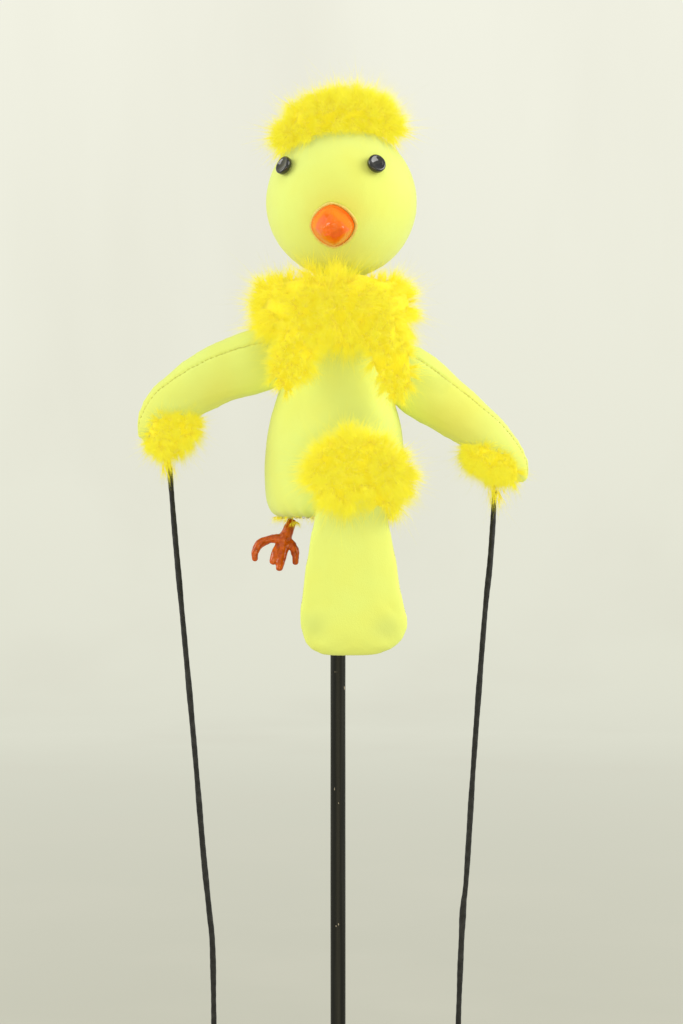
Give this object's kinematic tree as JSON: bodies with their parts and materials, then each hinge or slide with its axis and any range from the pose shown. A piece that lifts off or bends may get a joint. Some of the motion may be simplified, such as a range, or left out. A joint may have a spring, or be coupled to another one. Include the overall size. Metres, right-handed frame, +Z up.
{
  "type": "chick rod puppet",
  "caption": "Soft chick rod puppet on a main rod, with marabou boa trims, wings worked by two arm rods, a hanging tail flap and clay feet.",
  "frame": {"origin": "centre of the main rod's lower end", "axes": "+Z up along the main rod, -Y the way the beak looks, +X to the right as seen from the front"},
  "size_m": [0.3239, 0.1472, 0.9527],
  "materials": {
    "black_paint": "hand-brushed satin black paint on a wooden dowel, chipped near the lower end",
    "wood": "bare plywood and pine, sanded",
    "grip_wood": "turned wood, painted black",
    "steel": "bright plated steel wire",
    "foam": "upholstery foam, cut and carved",
    "jersey": "pale lime-yellow stretch jersey, fine knit, matte",
    "marabou": "golden yellow marabou down, soft fibres",
    "thread": "yellow sewing thread and cotton tape",
    "eye_black": "glossy black button with a rounded rim",
    "beak_enamel": "orange moulded clay under thick gloss varnish",
    "beak_bead": "bead of amber glue and drawn-in cloth round the beak",
    "foot_clay": "rust orange modelling clay, varnished, dark in the creases",
    "black_tape": "steel wire wrapped lengthwise in black cloth tape",
    "sleeve_plastic": "plain extruded plastic tube and turned plastic bushes"
  },
  "bodies": {
    "rod_and_head": {"main_rod": "black_paint", "rod_collar": "wood", "collar_pin": "steel", "thrust_washer": "steel", "head_core": "foam", "head_cover": "jersey", "neck_tie": "thread", "left_eye": "eye_black", "right_eye": "eye_black", "beak": "beak_enamel", "beak_rim": "beak_bead", "crest_boa": "marabou"},
    "torso": {"sleeve_tube": "sleeve_plastic", "upper_bush": "sleeve_plastic", "lower_bush": "sleeve_plastic", "base_board": "wood", "shoulder_block": "wood", "torso_foam": "foam", "torso_cover": "jersey", "neck_boa": "marabou", "tail_boa": "marabou", "left_shoulder_eye": "steel", "right_shoulder_eye": "steel", "left_leg_eye": "steel", "right_leg_eye": "steel", "tail_hinge_wire": "steel"},
    "tail": {"tail_core": "foam", "tail_cover": "jersey", "left_tail_loop": "thread", "right_tail_loop": "thread"},
    "left_leg": {"left_foot": "foot_clay"},
    "right_leg": {"right_foot": "foot_clay"},
    "left_shoulder": {"left_shoulder_ring": "steel"},
    "right_shoulder": {"right_shoulder_ring": "steel"},
    "left_wing": {"left_wing_core": "foam", "left_wing_cover": "jersey", "left_wing_eye": "steel", "left_tip_eye": "steel", "left_tip_boa": "marabou"},
    "right_wing": {"right_wing_core": "foam", "right_wing_cover": "jersey", "right_wing_eye": "steel", "right_tip_eye": "steel", "right_tip_boa": "marabou"},
    "left_tip": {"left_tip_ring": "steel"},
    "right_tip": {"right_tip_ring": "steel"},
    "left_rod": {"left_control_rod": "black_tape", "left_rod_handle": "grip_wood"},
    "right_rod": {"right_control_rod": "black_tape", "right_rod_handle": "grip_wood"}
  },
  "joints": [
    {"name": "torso_turn", "type": "hinge", "parent": "rod_and_head", "child": "torso", "pos_m": [0, 0, 0.5912], "axis": [0, 0, 1], "range_deg": [-180, 180]},
    {"name": "tail_lift", "type": "hinge", "parent": "torso", "child": "tail", "pos_m": [0.0116, -0.06, 0.631], "axis": [-1, 0, 0], "range_deg": [-3, 80]},
    {"name": "left_leg_swing", "type": "hinge", "parent": "torso", "child": "left_leg", "pos_m": [-0.038, 0, 0.6023], "axis": [1, 0, 0], "range_deg": [-30, 30]},
    {"name": "right_leg_swing", "type": "hinge", "parent": "torso", "child": "right_leg", "pos_m": [0.028, 0, 0.6023], "axis": [1, 0, 0], "range_deg": [-25, 30]},
    {"name": "left_wing_sweep", "type": "hinge", "parent": "torso", "child": "left_shoulder", "pos_m": [-0.0472, 0, 0.737], "axis": [0, 0, 1], "range_deg": [-20, 20]},
    {"name": "left_wing_lift", "type": "hinge", "parent": "left_shoulder", "child": "left_wing", "pos_m": [-0.0517, 0, 0.737], "axis": [0, 1, 0], "range_deg": [-20, 50]},
    {"name": "left_rod_swing", "type": "hinge", "parent": "left_wing", "child": "left_tip", "pos_m": [-0.141, 0, 0.6538], "axis": [0, 1, 0], "range_deg": [-55, 25]},
    {"name": "left_rod_tilt", "type": "hinge", "parent": "left_tip", "child": "left_rod", "pos_m": [-0.141, 0, 0.6493], "axis": [1, 0, 0], "range_deg": [-30, 30]},
    {"name": "right_wing_sweep", "type": "hinge", "parent": "torso", "child": "right_shoulder", "pos_m": [0.0512, 0, 0.728], "axis": [0, 0, -1], "range_deg": [-20, 20]},
    {"name": "right_wing_lift", "type": "hinge", "parent": "right_shoulder", "child": "right_wing", "pos_m": [0.0557, 0, 0.728], "axis": [0, -1, 0], "range_deg": [-8, 55]},
    {"name": "right_rod_swing", "type": "hinge", "parent": "right_wing", "child": "right_tip", "pos_m": [0.1297, 0, 0.6298], "axis": [0, -1, 0], "range_deg": [-60, 12]},
    {"name": "right_rod_tilt", "type": "hinge", "parent": "right_tip", "child": "right_rod", "pos_m": [0.1297, 0, 0.6253], "axis": [1, 0, 0], "range_deg": [-30, 30]}
  ],
  "couplings": [
    {"joint": "left_rod_swing", "follows": "left_wing_lift", "ratio": -1},
    {"joint": "right_rod_swing", "follows": "right_wing_lift", "ratio": -1}
  ]
}
